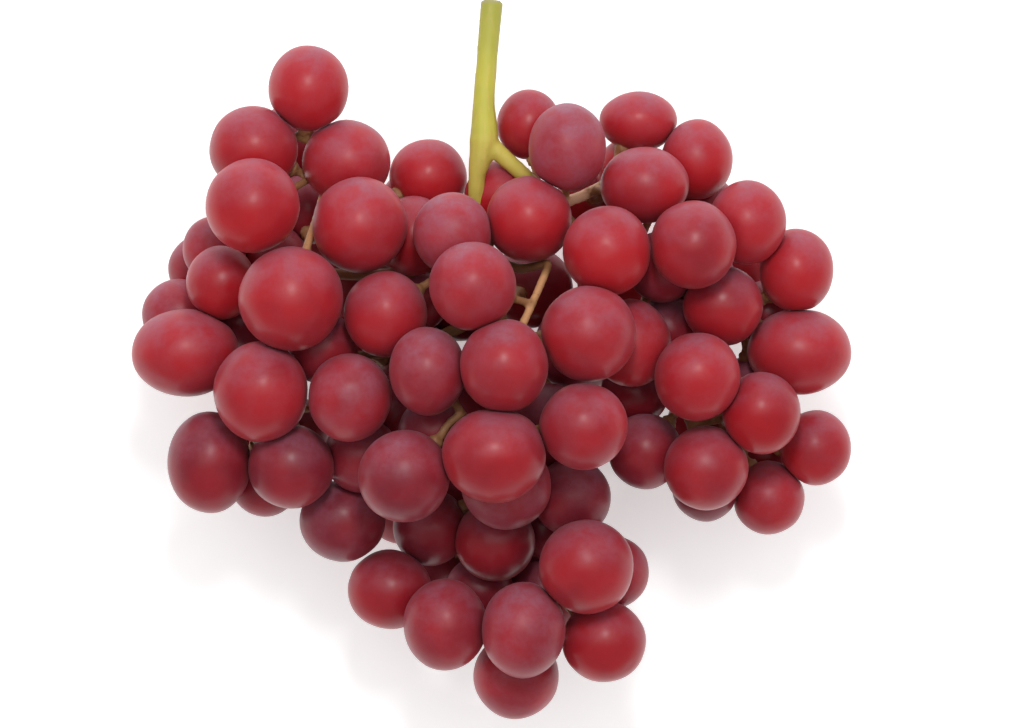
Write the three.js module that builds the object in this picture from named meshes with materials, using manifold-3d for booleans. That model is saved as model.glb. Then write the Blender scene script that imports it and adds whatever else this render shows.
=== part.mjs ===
// A bunch of red grapes, as picked, lying on its back: +X to the right and +Y towards
// the cut end of the stem, as the bunch is seen from above, +Z up, z = 0 the table.
// One green stem branches through the bunch and carries every grape on a short stalk.
// The grapes of each side branch press on one another and hold together as one cluster.
import * as THREE from 'three';
import { mergeVertices } from 'three/addons/utils/BufferGeometryUtils.js';
import Module from 'manifold-3d';

const wasm = await Module();
wasm.setup();

// Driving dimensions, in millimetres
const pixel = 0.222; // size of one photograph pixel: a grape 90 pixels wide is 20 mm
const middleColumn = 496; // pixel column over the middle of the bunch
const middleRow = 360.5; // pixel row over the middle of the bunch
const widestHeight = 33; // height at which the bunch is widest
const press = 1.0; // how far two grapes of one cluster are pressed into each other
const clusterGap = 0.35; // least room between two clusters
const stemGap = 0.3; // room between the stem and the grapes
const squash = 0.4; // how far a low grape is flattened by the table
const facetGrowth = 1.02; // makes up for the flat facets of a grape
const hiddenRadius = 9.7; // mean radius of a hidden grape
const hiddenSpread = 0.6; // how much a hidden grape's radius varies
const stalkReach = 7; // usual length of a grape's stalk
const stalkBase = 0.8; // radius where a stalk leaves the stem
const stalkEnd = 1.6; // radius of the collar that holds the grape

// Three swells make up the bunch: middle and half widths in pixels, then how far each
// rises above and hangs below the widest height, in millimetres
const swells = [
  { x: 490, y: 380, halfX: 225, halfY: 345, rise: 50, hang: 46 },
  { x: 292, y: 285, halfX: 160, halfY: 245, rise: 45, hang: 42 },
  { x: 690, y: 310, halfX: 168, halfY: 232, rise: 40, hang: 42 },
];

// The grapes that show from above, from the front to the back: pixel column and row,
// then half width and half height in pixels
const seenGrapes = [
  [506, 365, 44, 46], [293, 298, 52, 52], [493, 455, 52, 47], [587, 335, 47, 48],
  [604, 252, 44, 45], [473, 287, 43, 44], [361, 226, 47, 48], [262, 391, 47, 50],
  [428, 371, 38, 44], [523, 630, 42, 48], [693, 246, 43, 44], [697, 377, 43, 44],
  [255, 208, 47, 47], [386, 314, 41, 43], [584, 424, 44, 43], [587, 564, 47, 47],
  [705, 468, 42, 42], [567, 149, 39, 44], [530, 220, 43, 43], [452, 235, 39, 41],
  [351, 397, 42, 44], [405, 475, 46, 46], [644, 186, 44, 38], [760, 412, 39, 41],
  [799, 352, 52, 43], [309, 88, 40, 43], [506, 485, 45, 44], [445, 624, 42, 46],
  [187, 353, 54, 44], [222, 283, 35, 37], [746, 223, 39, 42], [630, 343, 40, 44],
  [414, 236, 37, 40], [347, 163, 44, 42], [254, 150, 44, 43], [428, 177, 39, 38],
  [529, 125, 32, 35], [638, 121, 39, 30], [697, 160, 36, 40], [796, 270, 37, 42],
  [816, 448, 36, 38], [769, 498, 36, 37], [722, 306, 40, 40], [645, 451, 37, 38],
  [208, 462, 42, 51], [294, 467, 43, 42], [362, 455, 38, 38], [494, 541, 40, 40],
  [432, 527, 38, 38], [343, 521, 43, 41], [388, 590, 42, 40], [604, 641, 42, 41],
  [516, 676, 43, 43], [572, 497, 39, 39], [612, 572, 37, 37], [178, 315, 37, 36],
  [214, 249, 32, 33], [200, 268, 34, 34], [265, 482, 35, 35], [706, 487, 34, 35],
  [628, 170, 32, 32], [500, 197, 36, 36],
];

// Grapes that show only as dark red in the gaps between those, given in the same way
const gapGrapes = [
  [325, 347, 36, 36], [765, 315, 34, 34], [754, 387, 34, 34], [436, 430, 36, 36],
  [657, 276, 36, 36], [550, 523, 34, 34], [462, 503, 34, 34], [628, 398, 34, 34],
  [480, 590, 34, 34], [268, 252, 36, 34], [245, 430, 34, 34], [308, 213, 36, 36],
  [417, 291, 34, 34], [396, 414, 34, 34], [672, 327, 33, 33], [241, 320, 33, 33],
  [765, 455, 33, 33], [702, 203, 32, 32],
];

// Stalks at the gaps: the grape's place in the list above, then the pixel column, pixel
// row and height where its stalk leaves the stem
const placedStalks = [
  { grape: 0, root: [549, 264, 57] },
  { grape: 1, root: [326, 186, 43] },
  { grape: 25, root: [306, 142, 44] },
  { grape: 17, root: [563, 201, 45.5] },
  { grape: 36, root: [540, 192.6, 47.3] },
];

// The line through the outer grapes' middles: hidden grapes stay inside it
const outline = [
  [309, 88], [254, 150], [214, 249], [178, 315], [187, 353], [208, 462], [265, 482], [343, 521],
  [388, 590], [445, 624], [516, 676], [604, 641], [612, 572], [572, 497], [584, 424], [645, 451],
  [706, 487], [769, 498], [816, 448], [799, 352], [796, 270], [746, 223], [697, 160], [638, 121],
  [567, 149], [500, 200], [428, 177], [347, 163],
];
const outlineMargin = 16; // pixels that a hidden grape's middle stays inside the outline

// Places that hidden grapes keep clear of: two where one sees right through the bunch,
// then notches in its outline. Pixel column, row and radius.
const clearings = [
  [645, 229, 6], [738, 354, 7], [188, 411, 8], [392, 128, 8], [672, 98, 6], [808, 398, 6],
  [352, 108, 6], [268, 100, 6],
];

// The stem: each branch carries one cluster, and its path is a list of pixel column,
// pixel row, height and radius, the last two in millimetres
const branches = [
  {
    cluster: 'grapes_middle',
    path: [[492, 2, 44, 2.5], [487, 60, 47, 2.35], [484, 105, 49, 2.45], [484, 142, 50, 3.3],
      [477, 178, 49.5, 1.9], [479, 220, 46, 1.9], [488, 262, 43, 2], [500, 330, 41, 1.8],
      [497, 400, 39, 1.6], [490, 450, 37, 1.6]],
  },
  {
    cluster: 'grapes_tail',
    path: [[490, 448, 37, 1.6], [498, 530, 33, 1.4], [505, 590, 31, 1.2], [512, 640, 30, 1]],
  },
  {
    cluster: 'grapes_right_top',
    path: [[486, 142, 50, 2.2], [507, 161, 50, 1.9], [527, 179, 49, 1.8], [550, 203, 46, 1.6],
      [575, 199, 45, 1.3], [600, 187, 43, 1.2], [625, 177, 36, 1], [690, 190, 31, 0.9]],
  },
  {
    cluster: 'grapes_right_side',
    path: [[548, 202, 46, 1.6], [590, 240, 43, 1.5], [640, 268, 41, 1.4], [700, 300, 38, 1.1],
      [752, 318, 35, 0.9]],
  },
  {
    cluster: 'grapes_right_low',
    path: [[638, 267, 41, 1.4], [672, 335, 39, 1.2], [705, 400, 36, 1], [745, 440, 33, 0.9]],
  },
  {
    cluster: 'grapes_left_top',
    path: [[477, 206, 47, 1.7], [430, 214, 44, 1.5], [370, 212, 43, 1.3], [326, 186, 43, 1.2],
      [320, 150, 44, 1], [294, 135, 44, 0.9]],
  },
  {
    cluster: 'grapes_left_side',
    path: [[483, 243, 44, 1.7], [425, 268, 43, 1.5], [350, 275, 42, 1.3], [280, 268, 39, 1.1],
      [222, 300, 36, 0.9]],
  },
  {
    cluster: 'grapes_left_low',
    path: [[495, 308, 41, 1.6], [420, 345, 40, 1.4], [345, 360, 39, 1.2], [285, 385, 37, 1],
      [235, 430, 34, 0.9]],
  },
  {
    cluster: 'grapes_middle',
    bare: true, // it carries the one stalk placed on its end
    path: [[486, 254, 43, 1.5], [515, 268, 49, 1.2], [549, 264, 57, 1]],
  },
  {
    cluster: 'grapes_middle',
    path: [[498, 395, 39, 1.4], [480, 425, 48, 1.1], [462, 425, 57, 0.9]],
  },
  {
    cluster: 'grapes_middle',
    path: [[492, 444, 37, 1.4], [545, 462, 38, 1.1], [595, 452, 37, 0.9]],
  },
];
const branchSides = 5;
const stalkSides = 3;

const toX = (column) => (column - middleColumn) * pixel;
const toY = (row) => (middleRow - row) * pixel;

// A repeatable run of numbers from 0 to 1
const draw = { state: 36 };
function random() {
  draw.state = (draw.state * 1664525 + 1013904223) % 4294967296;
  return draw.state / 4294967296;
}

function makeGrape(x, y, halfX, halfY, halfZ, seen) {
  return { x, y, z: 0, halfX, halfY, halfZ, homeX: x, homeY: y, seen, cluster: '', root: null };
}

const meanRadius = (grape) => (grape.halfX + grape.halfY) / 2;

// How far a grape reaches along a direction
function reachAlong(grape, ux, uy, uz) {
  const a = grape.halfX * ux;
  const b = grape.halfY * uy;
  const c = grape.halfZ * uz;
  return Math.sqrt(a * a + b * b + c * c);
}

// Free room between two grapes, negative where they press on each other
function roomBetween(a, b) {
  const dx = b.x - a.x;
  const dy = b.y - a.y;
  const dz = b.z - a.z;
  const distance = Math.sqrt(dx * dx + dy * dy + dz * dz);
  const ux = dx / distance;
  const uy = dy / distance;
  const uz = dz / distance;
  return distance - reachAlong(a, ux, uy, uz) - reachAlong(b, ux, uy, uz);
}

// Height of the bunch's upper skin, with a side of 1, or of its underside, with -1
function skinHeight(x, y, side) {
  let swell = 0;
  for (const part of swells) {
    const across = (x - toX(part.x)) / (part.halfX * pixel);
    const along = (y - toY(part.y)) / (part.halfY * pixel);
    const inside = 1 - across * across - along * along;
    if (inside > 0) swell = Math.max(swell, Math.sqrt(inside) * (side > 0 ? part.rise : part.hang));
  }
  return widestHeight + side * swell;
}

// The greatest height at which a grape lies behind those placed before it
function heightBehind(grape, placed, ceiling) {
  let height = ceiling;
  for (const front of placed) {
    const dx = front.x - grape.x;
    const dy = front.y - grape.y;
    const across = Math.sqrt(dx * dx + dy * dy);
    const reach = meanRadius(front) + meanRadius(grape) - press;
    if (across < reach) height = Math.min(height, front.z - Math.sqrt(reach * reach - across * across));
  }
  return height;
}

// How many pixels inside the outline a place lies, negative outside it
function insideOutline(column, row) {
  let inside = false;
  let nearest = Infinity;
  outline.forEach(([x2, y2], index) => {
    const [x1, y1] = outline[(index + outline.length - 1) % outline.length];
    if (y1 > row !== y2 > row && column < ((x2 - x1) * (row - y1)) / (y2 - y1) + x1) inside = !inside;
    const length = (x2 - x1) * (x2 - x1) + (y2 - y1) * (y2 - y1);
    const along = Math.min(1, Math.max(0, ((column - x1) * (x2 - x1) + (row - y1) * (y2 - y1)) / length));
    const dx = column - x1 - along * (x2 - x1);
    const dy = row - y1 - along * (y2 - y1);
    nearest = Math.min(nearest, Math.sqrt(dx * dx + dy * dy));
  });
  return inside ? nearest : -nearest;
}

// Places measured grapes, each at the bunch's skin or behind those placed before it
function placeGrapes(measured, seen, placed) {
  for (const [column, row, halfWidth, halfHeight] of measured) {
    const halfX = halfWidth * pixel;
    const halfY = halfHeight * pixel;
    const grape = makeGrape(toX(column), toY(row), halfX, halfY, (halfX + halfY) / 2, seen);
    grape.z = heightBehind(grape, placed, skinHeight(grape.x, grape.y, 1) - grape.halfZ);
    placed.push(grape);
  }
}

function coversClearing(column, row, radius) {
  return clearings.some(([gapColumn, gapRow, gapRadius]) => {
    const dx = gapColumn - column;
    const dy = gapRow - row;
    return Math.sqrt(dx * dx + dy * dy) < gapRadius + radius / pixel;
  });
}

// Hidden grapes fill the bunch behind the seen ones, layer under layer, to the table
function addHiddenGrapes(placed) {
  const layers = 5;
  const rows = 5;
  const spacing = 18.8; // between two grapes of a row
  const rowStep = 16.6;
  const wander = 4.5; // how far a grape strays from its place in the row
  const tooLow = 0.45; // share of a radius that a grape may be too low
  for (let layer = 0; layer < layers; layer++) {
    for (let row = -rows; row <= rows; row++) {
      for (let column = -rows; column <= rows; column++) {
        const stagger = (row % 2 === 0 ? 0 : 0.5) + (layer % 2 === 0 ? 0 : 0.5);
        const rowShift = layer % 2 === 0 ? 0 : 0.33;
        const x = (column + stagger) * spacing + (random() - 0.5) * wander;
        const y = (row + rowShift) * rowStep + (random() - 0.5) * wander;
        const radius = hiddenRadius + (random() - 0.5) * 2 * hiddenSpread;
        const halfX = radius * (0.96 + 0.1 * random());
        const halfY = radius * (0.96 + 0.1 * random());
        const pixelX = x / pixel + middleColumn;
        const pixelY = middleRow - y / pixel;
        if (insideOutline(pixelX, pixelY) < outlineMargin) continue;
        if (coversClearing(pixelX, pixelY, radius)) continue;
        const grape = makeGrape(x, y, halfX, halfY, radius, false);
        const lowest = Math.max(0, skinHeight(x, y, -1)) + radius;
        const height = heightBehind(grape, placed, Infinity);
        if (height === Infinity || height < lowest - radius * tooLow) continue;
        grape.z = Math.max(height, lowest - squash);
        placed.push(grape);
      }
    }
  }
}

// Points along every branch, a short step apart
function stemPoints() {
  const step = 2;
  const bareRow = 150; // above this pixel row the stem carries no grapes
  const points = [];
  for (const branch of branches.filter(({ bare }) => !bare)) {
    for (let index = 1; index < branch.path.length; index++) {
      const [column1, row1, z1] = branch.path[index - 1];
      const [column2, row2, z2] = branch.path[index];
      if (row2 < bareRow) continue;
      const x1 = toX(column1);
      const y1 = toY(row1);
      const dx = toX(column2) - x1;
      const dy = toY(row2) - y1;
      const dz = z2 - z1;
      const count = Math.ceil(Math.sqrt(dx * dx + dy * dy + dz * dz) / step);
      for (let part = 0; part < count; part++) {
        const t = part / count;
        points.push({ x: x1 + t * dx, y: y1 + t * dy, z: z1 + t * dz, cluster: branch.cluster });
      }
    }
  }
  return points;
}

// Distance from a point to the straight line between two others
function distanceToLine(point, from, to) {
  const dx = to.x - from.x;
  const dy = to.y - from.y;
  const dz = to.z - from.z;
  const length = dx * dx + dy * dy + dz * dz || 1;
  const along = ((point.x - from.x) * dx + (point.y - from.y) * dy + (point.z - from.z) * dz) / length;
  const t = Math.min(1, Math.max(0, along));
  const ex = point.x - from.x - t * dx;
  const ey = point.y - from.y - t * dy;
  const ez = point.z - from.z - t * dz;
  return Math.sqrt(ex * ex + ey * ey + ez * ez);
}

// Gives a grape the cluster whose branch suits a stalk of the usual length best
function chooseCluster(grape, points) {
  let best = Infinity;
  for (const point of points) {
    const misfit = Math.abs(distanceToLine(grape, point, point) - meanRadius(grape) - stalkReach);
    if (misfit < best) {
      best = misfit;
      grape.cluster = point.cluster;
    }
  }
}

// A grape that touches none of its cluster goes to the cluster of its nearest neighbour
function chooseClusters(grapes, points) {
  const rounds = 3;
  const touching = 1.2;
  for (const grape of grapes) chooseCluster(grape, points);
  for (let round = 0; round < rounds; round++) {
    for (const grape of grapes) {
      let nearestRoom = Infinity;
      let nearestCluster = grape.cluster;
      let ownRoom = Infinity;
      for (const other of grapes) {
        if (other === grape) continue;
        const room = roomBetween(grape, other);
        if (room < nearestRoom) {
          nearestRoom = room;
          nearestCluster = other.cluster;
        }
        if (other.cluster === grape.cluster) ownRoom = Math.min(ownRoom, room);
      }
      if (ownRoom > nearestRoom + touching) grape.cluster = nearestCluster;
    }
  }
}

// The shortest set of links that joins all grapes of each cluster
function clusterLinks(grapes) {
  const links = [];
  for (const name of new Set(grapes.map((grape) => grape.cluster))) {
    const members = grapes.filter((grape) => grape.cluster === name);
    const joined = [members.shift()];
    while (members.length > 0) {
      let best = Infinity;
      let link = null;
      for (const a of joined) {
        for (const b of members) {
          const room = roomBetween(a, b);
          if (room < best) {
            best = room;
            link = [a, b];
          }
        }
      }
      links.push(link);
      joined.push(link[1]);
      members.splice(members.indexOf(link[1]), 1);
    }
  }
  return links;
}

// Moves two grapes apart, or together if the amount is negative: seen ones give way less
function spread(a, b, amount) {
  const seenFreedom = 0.25;
  const dx = b.x - a.x;
  const dy = b.y - a.y;
  const dz = b.z - a.z;
  const half = amount / Math.sqrt(dx * dx + dy * dy + dz * dz) / 2;
  const freedomA = a.seen ? seenFreedom : 1;
  const freedomB = b.seen ? seenFreedom : 1;
  a.x -= dx * half * freedomA;
  a.y -= dy * half * freedomA;
  a.z -= dz * half;
  b.x += dx * half * freedomB;
  b.y += dy * half * freedomB;
  b.z += dz * half;
}

// Grapes settle against each other: those of one cluster press, clusters stay apart
function settle(grapes) {
  const passes = 120;
  const linkEvery = 20;
  const pushShare = 0.6;
  const pullShare = 0.8;
  const homeShare = 0.15;
  const tableReach = 3; // hidden grapes this near to the table come down to it
  const sinkShare = 0.2;
  let links = [];
  for (let pass = 0; pass < passes; pass++) {
    if (pass % linkEvery === 0) links = clusterLinks(grapes);
    for (let i = 0; i < grapes.length; i++) {
      for (let j = i + 1; j < grapes.length; j++) {
        const a = grapes[i];
        const b = grapes[j];
        const sum = meanRadius(a) + meanRadius(b);
        if (Math.abs(a.x - b.x) > sum * 1.2 || Math.abs(a.y - b.y) > sum * 1.2) continue;
        const least = a.cluster === b.cluster ? -press : clusterGap + (facetGrowth - 1) * sum;
        const short = least - roomBetween(a, b);
        if (short > 0) spread(a, b, short * pushShare);
      }
    }
    for (const [a, b] of links) {
      const open = roomBetween(a, b) + press;
      if (open > 0) spread(a, b, -open * pullShare);
    }
    for (const grape of grapes) {
      if (grape.seen) {
        grape.x += (grape.homeX - grape.x) * homeShare;
        grape.y += (grape.homeY - grape.y) * homeShare;
      }
      const lift = grape.z - grape.halfZ + squash;
      if (!grape.seen && lift < tableReach) grape.z -= lift * sinkShare;
      grape.z = Math.max(grape.z, grape.halfZ - squash);
    }
  }
}

// The clearest way for a grape's stalk, from the places where it may spring
function bestRoot(grape, places, grapes) {
  const lengthWeight = 0.3;
  const clearance = 1.8;
  const shortest = 2.5;
  let best = Infinity;
  let root = null;
  for (const place of places) {
    if (place.cluster !== grape.cluster) continue;
    const length = distanceToLine(grape, place, place) - meanRadius(grape);
    if (length < shortest) continue;
    let cost = lengthWeight * Math.abs(length - stalkReach);
    for (const other of grapes) {
      if (cost > best) break;
      if (other === grape) continue;
      cost += Math.max(0, meanRadius(other) + clearance - distanceToLine(other, place, grape));
    }
    if (cost < best) {
      best = cost;
      root = place;
    }
  }
  return root;
}

// Once the grapes have settled each is hung up, those nearest to a branch first.
// A stalk springs from a branch or from an earlier stalk, so that stalks fork too.
function hangGrapes(grapes, points) {
  const step = 2;
  const bareEnd = 4; // length next to the grape where nothing springs from its stalk
  const places = points.slice();
  for (const grape of grapes) {
    grape.inward = Infinity;
    for (const point of points) {
      if (point.cluster !== grape.cluster) continue;
      grape.inward = Math.min(grape.inward, distanceToLine(grape, point, point));
    }
  }
  for (const { grape, root } of placedStalks) {
    const [column, row, height] = root;
    grapes[grape].root = { x: toX(column), y: toY(row), z: height };
  }
  const order = grapes.slice().sort((a, b) => a.inward - b.inward);
  for (const grape of order) {
    if (!grape.root) grape.root = bestRoot(grape, places, grapes);
    const { root } = grape;
    const length = distanceToLine(grape, root, root);
    for (let along = step; along < length - meanRadius(grape) - bareEnd; along += step) {
      const t = along / length;
      const x = root.x + t * (grape.x - root.x);
      const y = root.y + t * (grape.y - root.y);
      const z = root.z + t * (grape.z - root.z);
      places.push({ x, y, z, cluster: grape.cluster });
    }
  }
}

// A closed solid from a three.js geometry
function toSolid(geometry) {
  const bare = geometry.index ? geometry.toNonIndexed() : geometry.clone();
  bare.deleteAttribute('normal');
  bare.deleteAttribute('uv');
  const merged = mergeVertices(bare, 1e-4);
  return new wasm.Manifold(new wasm.Mesh({
    numProp: 3,
    vertProperties: new Float32Array(merged.attributes.position.array),
    triVerts: new Uint32Array(merged.index.array),
  }));
}

function toGeometry(solid) {
  const mesh = solid.getMesh();
  const geometry = new THREE.BufferGeometry();
  geometry.setAttribute('position', new THREE.BufferAttribute(mesh.vertProperties, 3));
  geometry.setIndex(new THREE.BufferAttribute(mesh.triVerts, 1));
  geometry.computeVertexNormals();
  return geometry;
}

function joined(solids) {
  return solids.reduce((sum, solid) => sum.add(solid));
}

// The largest body of a solid, without the scraps that a cut leaves
function withoutScraps(solid) {
  const bodies = solid.decompose();
  bodies.sort((a, b) => b.volume() - a.volume());
  return bodies[0];
}

// One grape: a faceted ball turned at random, then drawn to its own half sizes
function grapeSolid(grape) {
  const geometry = new THREE.IcosahedronGeometry(facetGrowth, 1);
  const turn = new THREE.Euler(random() * Math.PI, random() * Math.PI, random() * Math.PI);
  geometry.applyMatrix4(new THREE.Matrix4().makeRotationFromEuler(turn));
  geometry.scale(grape.halfX, grape.halfY, grape.halfZ);
  geometry.translate(grape.x, grape.y, grape.z);
  return toSolid(geometry);
}

// A closed round tube through a row of rings, each a middle and a radius, grown by extra
function tube(rings, extra, sides) {
  const last = rings.length - 1;
  const geometry = new THREE.CylinderGeometry(1, 1, last, sides, last);
  geometry.rotateX(Math.PI / 2);
  const place = geometry.attributes.position;
  const spot = new THREE.Vector3();
  const turn = new THREE.Quaternion();
  const upright = new THREE.Vector3(0, 0, 1);
  for (let index = 0; index < place.count; index++) {
    spot.fromBufferAttribute(place, index);
    const ring = Math.round(spot.z + last / 2);
    const before = rings[Math.max(0, ring - 1)].middle;
    const after = rings[Math.min(last, ring + 1)].middle;
    turn.setFromUnitVectors(upright, after.clone().sub(before).normalize());
    spot.z = 0;
    spot.multiplyScalar(rings[ring].radius + extra);
    if (ring === 0) spot.z = -extra;
    if (ring === last) spot.z = extra;
    spot.applyQuaternion(turn).add(rings[ring].middle);
    place.setXYZ(index, spot.x, spot.y, spot.z);
  }
  return toSolid(geometry);
}

// A branch runs through its path, with a ring at each corner
function branchSolid(branch, extra) {
  const rings = branch.path.map(([column, row, height, radius]) => (
    { middle: new THREE.Vector3(toX(column), toY(row), height), radius }
  ));
  return tube(rings, extra, branchSides);
}

// A grape's stalk, from the stem to a collar just clear of the grape
function stalkSolid(grape, extra) {
  const collarGap = stemGap + 0.1;
  const start = new THREE.Vector3(grape.root.x, grape.root.y, grape.root.z);
  const middle = new THREE.Vector3(grape.x, grape.y, grape.z);
  const out = middle.clone().sub(start).normalize();
  const skin = 1 / Math.hypot(out.x / grape.halfX, out.y / grape.halfY, out.z / grape.halfZ);
  const end = middle.addScaledVector(out, -skin - collarGap);
  return tube([{ middle: start, radius: stalkBase }, { middle: end, radius: stalkEnd }], extra, stalkSides);
}

// The flattened patch where two linked grapes only just touch
function patchSolid(a, b) {
  const patchRadius = 2.8;
  const patchHalf = 1.6;
  const start = new THREE.Vector3(a.x, a.y, a.z);
  const out = new THREE.Vector3(b.x, b.y, b.z).sub(start).normalize();
  const touch = reachAlong(a, out.x, out.y, out.z) + roomBetween(a, b) / 2;
  const near = start.clone().addScaledVector(out, touch - patchHalf);
  const far = start.clone().addScaledVector(out, touch + patchHalf);
  return tube([{ middle: near, radius: patchRadius }, { middle: far, radius: patchRadius }], 0, branchSides);
}

function stemSolid(grapes, extra) {
  const wood = branches.map((branch) => branchSolid(branch, extra));
  const stalks = grapes.map((grape) => stalkSolid(grape, extra));
  return joined([...wood, ...stalks]);
}

// The part of a solid above the table's surface
function aboveTable(solid) {
  const size = 400;
  const block = new THREE.BoxGeometry(size, size, size);
  block.translate(0, 0, size / 2);
  return solid.intersect(toSolid(block));
}

const points = stemPoints();
const grapes = [];
placeGrapes(seenGrapes, true, grapes);
placeGrapes(gapGrapes, false, grapes);
addHiddenGrapes(grapes);
chooseClusters(grapes, points);
settle(grapes);
hangGrapes(grapes, points);

const bunch = new THREE.Group();
function addPiece(name, solid, colour, roughness) {
  const material = new THREE.MeshStandardMaterial({ color: colour, roughness, metalness: 0 });
  const mesh = new THREE.Mesh(toGeometry(solid), material);
  mesh.name = name;
  bunch.add(mesh);
}

// The stem, and the slightly larger room that the grapes leave it
addPiece('stem', stemSolid(grapes, 0), '#b3a347', 0.6);
const stemRoom = stemSolid(grapes, stemGap);

// The clusters of grapes, one on each side branch
const clusterNames = [...new Set(branches.map((branch) => branch.cluster))];
const lightTouch = -0.8;
const patches = clusterLinks(grapes).filter(([a, b]) => roomBetween(a, b) > lightTouch);
for (const name of clusterNames) {
  const members = grapes.filter((grape) => grape.cluster === name).map(grapeSolid);
  const bonds = patches.filter(([a]) => a.cluster === name).map(([a, b]) => patchSolid(a, b));
  const cluster = aboveTable(joined([...members, ...bonds])).subtract(stemRoom);
  addPiece(name, withoutScraps(cluster), '#a32a37', 0.4);
}

export default bunch;
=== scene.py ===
# A bunch of red grapes lying on its back, seen from straight above: +X right, +Y towards
# the cut end of the stem, z = 0 the table. Every grape and stalk stands where the CAD has it.
import math
from types import SimpleNamespace

import bmesh
import bpy
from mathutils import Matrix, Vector, kdtree, noise


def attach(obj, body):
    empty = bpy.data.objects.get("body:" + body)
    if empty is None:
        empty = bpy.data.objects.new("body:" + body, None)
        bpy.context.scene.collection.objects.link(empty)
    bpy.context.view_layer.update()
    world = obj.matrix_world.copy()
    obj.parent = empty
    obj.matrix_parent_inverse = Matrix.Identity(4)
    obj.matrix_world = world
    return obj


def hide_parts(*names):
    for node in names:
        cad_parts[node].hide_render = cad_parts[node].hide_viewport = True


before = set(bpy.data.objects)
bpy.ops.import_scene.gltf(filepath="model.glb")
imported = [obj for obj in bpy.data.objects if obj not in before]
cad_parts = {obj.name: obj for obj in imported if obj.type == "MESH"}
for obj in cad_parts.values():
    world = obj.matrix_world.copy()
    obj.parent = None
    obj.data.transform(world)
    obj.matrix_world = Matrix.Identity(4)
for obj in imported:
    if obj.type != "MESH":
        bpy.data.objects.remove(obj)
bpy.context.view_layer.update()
print("frame loaded")

mm = 0.001  # the layout is worked out in millimetres, as in the CAD

bunch = {
    "pixel": 0.222,         # size of one photograph pixel
    "middleColumn": 496,    # pixel column over the middle of the bunch
    "middleRow": 360.5,     # pixel row over the middle of the bunch
    "widestHeight": 33,     # height at which the bunch is widest
    "press": 1.0,           # how far two grapes of one cluster press into each other
    "clusterGap": 0.35,     # least room between two clusters
    "squash": 0.4,          # how far a low grape is flattened by the table
    "facetGrowth": 1.02,
    "hiddenRadius": 9.7,
    "hiddenSpread": 0.6,
    "stalkReach": 7,        # usual length of a stalk
    "outlineMargin": 16,    # pixels that a hidden grape's middle stays inside the outline
}

# three swells: middle and half widths in pixels, rise and hang in millimetres
swells = [
    (490, 380, 225, 345, 50, 46),
    (292, 285, 160, 245, 45, 42),
    (690, 310, 168, 232, 40, 42),
]

# grapes that show from above, front to back: pixel column, row, half width, half height
seenGrapes = [
    (506, 365, 44, 46), (293, 298, 52, 52), (493, 455, 52, 47), (587, 335, 47, 48),
    (604, 252, 44, 45), (473, 287, 43, 44), (361, 226, 47, 48), (262, 391, 47, 50),
    (428, 371, 38, 44), (523, 630, 42, 48), (693, 246, 43, 44), (697, 377, 43, 44),
    (255, 208, 47, 47), (386, 314, 41, 43), (584, 424, 44, 43), (587, 564, 47, 47),
    (705, 468, 42, 42), (567, 149, 39, 44), (530, 220, 43, 43), (452, 235, 39, 41),
    (351, 397, 42, 44), (405, 475, 46, 46), (644, 186, 44, 38), (760, 412, 39, 41),
    (799, 352, 52, 43), (309, 88, 40, 43), (506, 485, 45, 44), (445, 624, 42, 46),
    (187, 353, 54, 44), (222, 283, 35, 37), (746, 223, 39, 42), (630, 343, 40, 44),
    (414, 236, 37, 40), (347, 163, 44, 42), (254, 150, 44, 43), (428, 177, 39, 38),
    (529, 125, 32, 35), (638, 121, 39, 30), (697, 160, 36, 40), (796, 270, 37, 42),
    (816, 448, 36, 38), (769, 498, 36, 37), (722, 306, 40, 40), (645, 451, 37, 38),
    (208, 462, 42, 51), (294, 467, 43, 42), (362, 455, 38, 38), (494, 541, 40, 40),
    (432, 527, 38, 38), (343, 521, 43, 41), (388, 590, 42, 40), (604, 641, 42, 41),
    (516, 676, 43, 43), (572, 497, 39, 39), (612, 572, 37, 37), (178, 315, 37, 36),
    (214, 249, 32, 33), (200, 268, 34, 34), (265, 482, 35, 35), (706, 487, 34, 35),
    (628, 170, 32, 32), (500, 197, 36, 36),
]

# grapes that show only as dark red in the gaps between those
gapGrapes = [
    (325, 347, 36, 36), (765, 315, 34, 34), (754, 387, 34, 34), (436, 430, 36, 36),
    (657, 276, 36, 36), (550, 523, 34, 34), (462, 503, 34, 34), (628, 398, 34, 34),
    (480, 590, 34, 34), (268, 252, 36, 34), (245, 430, 34, 34), (308, 213, 36, 36),
    (417, 291, 34, 34), (396, 414, 34, 34), (672, 327, 33, 33), (241, 320, 33, 33),
    (765, 455, 33, 33), (702, 203, 32, 32),
]

# stalks at the gaps: the grape's place above, then its root's column, row and height
placedStalks = [
    (0, (549, 264, 57)), (1, (326, 186, 43)), (25, (306, 142, 44)), (17, (563, 201, 45.5)),
    (36, (540, 192.6, 47.3)),
]

# the line through the outer grapes' middles: hidden grapes stay inside it
outline = [
    (309, 88), (254, 150), (214, 249), (178, 315), (187, 353), (208, 462), (265, 482),
    (343, 521), (388, 590), (445, 624), (516, 676), (604, 641), (612, 572), (572, 497),
    (584, 424), (645, 451), (706, 487), (769, 498), (816, 448), (799, 352), (796, 270),
    (746, 223), (697, 160), (638, 121), (567, 149), (500, 200), (428, 177), (347, 163),
]

# places that hidden grapes keep clear of: pixel column, row and radius
clearings = [
    (645, 229, 6), (738, 354, 7), (188, 411, 8), (392, 128, 8), (672, 98, 6), (808, 398, 6),
    (352, 108, 6), (268, 100, 6),
]

# the spur whose end carries one placed stalk and nothing else
bareSpur = [(486, 254, 43, 1.5), (515, 268, 49, 1.2), (549, 264, 57, 1)]

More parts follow.
